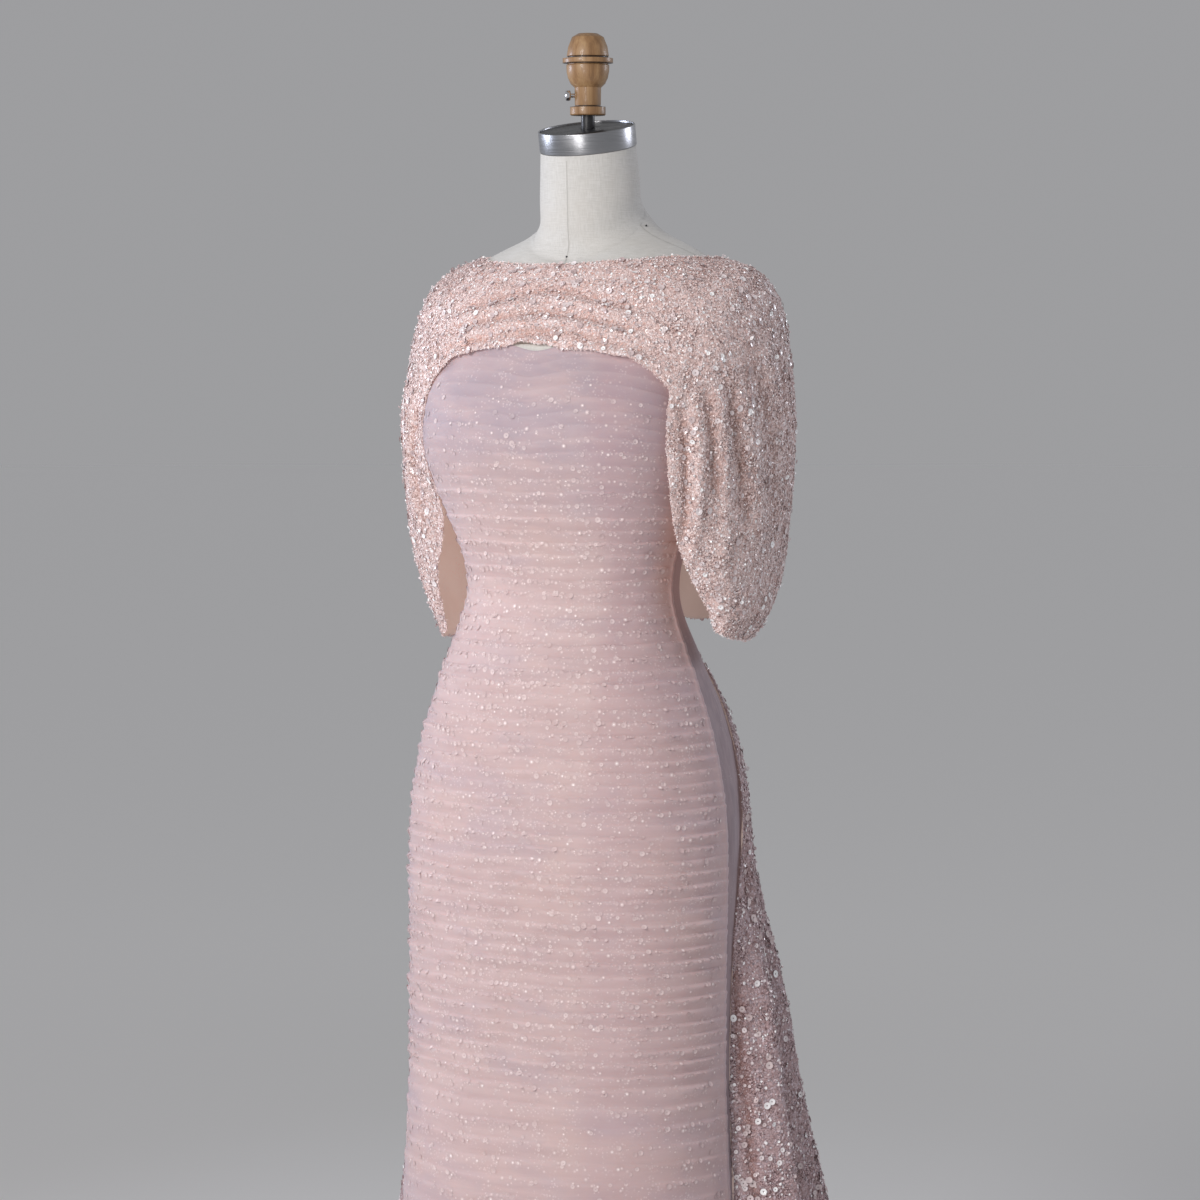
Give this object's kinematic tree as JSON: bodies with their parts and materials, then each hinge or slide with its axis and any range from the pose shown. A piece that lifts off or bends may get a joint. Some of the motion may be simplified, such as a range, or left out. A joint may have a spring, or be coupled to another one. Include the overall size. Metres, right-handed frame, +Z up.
{
  "type": "evening gown on dress form",
  "caption": "Floor-length column gown with horizontal pleats, a draped sequinned cape over both arms and a train, worn by a limbless dress form on a round stand.",
  "frame": {"origin": "centre of the stand's foot on the floor, on the pole's axis", "axes": "+Z up along the pole, -Y the way the wearer faces, +X the wearer's left"},
  "size_m": [0.7506, 0.9213, 1.6169],
  "materials": {
    "pleated_tulle": "sheer blush tulle in fine horizontal pleats over a sequinned layer, soft sheen",
    "plain_tulle": "plain blush tulle, matte",
    "sequin_lace": "net covered with chips, beads and round sequins, sparkling",
    "linen": "off-white linen, matte",
    "steel": "brushed round the band",
    "black_metal": "satin black",
    "turned_wood": "turned and lightly oiled, with dark burnt rings",
    "screw_metal": "bright"
  },
  "bodies": {
    "root": {"gown_front": "pleated_tulle", "gown_back_left": "plain_tulle", "gown_back_right": "plain_tulle", "cape_front_band": "sequin_lace", "cape_sleeve_left": "sequin_lace", "cape_sleeve_right": "sequin_lace", "cape_back": "sequin_lace", "train_left": "sequin_lace", "train_right": "sequin_lace", "form_torso": "linen", "neck_band": "steel", "neck_cap": "black_metal", "form_rod": "black_metal", "finial": "turned_wood", "thumb_screw": "screw_metal", "stand_collar": "black_metal", "stand_pole": "black_metal", "stand_foot": "black_metal"}
  },
  "joints": []
}
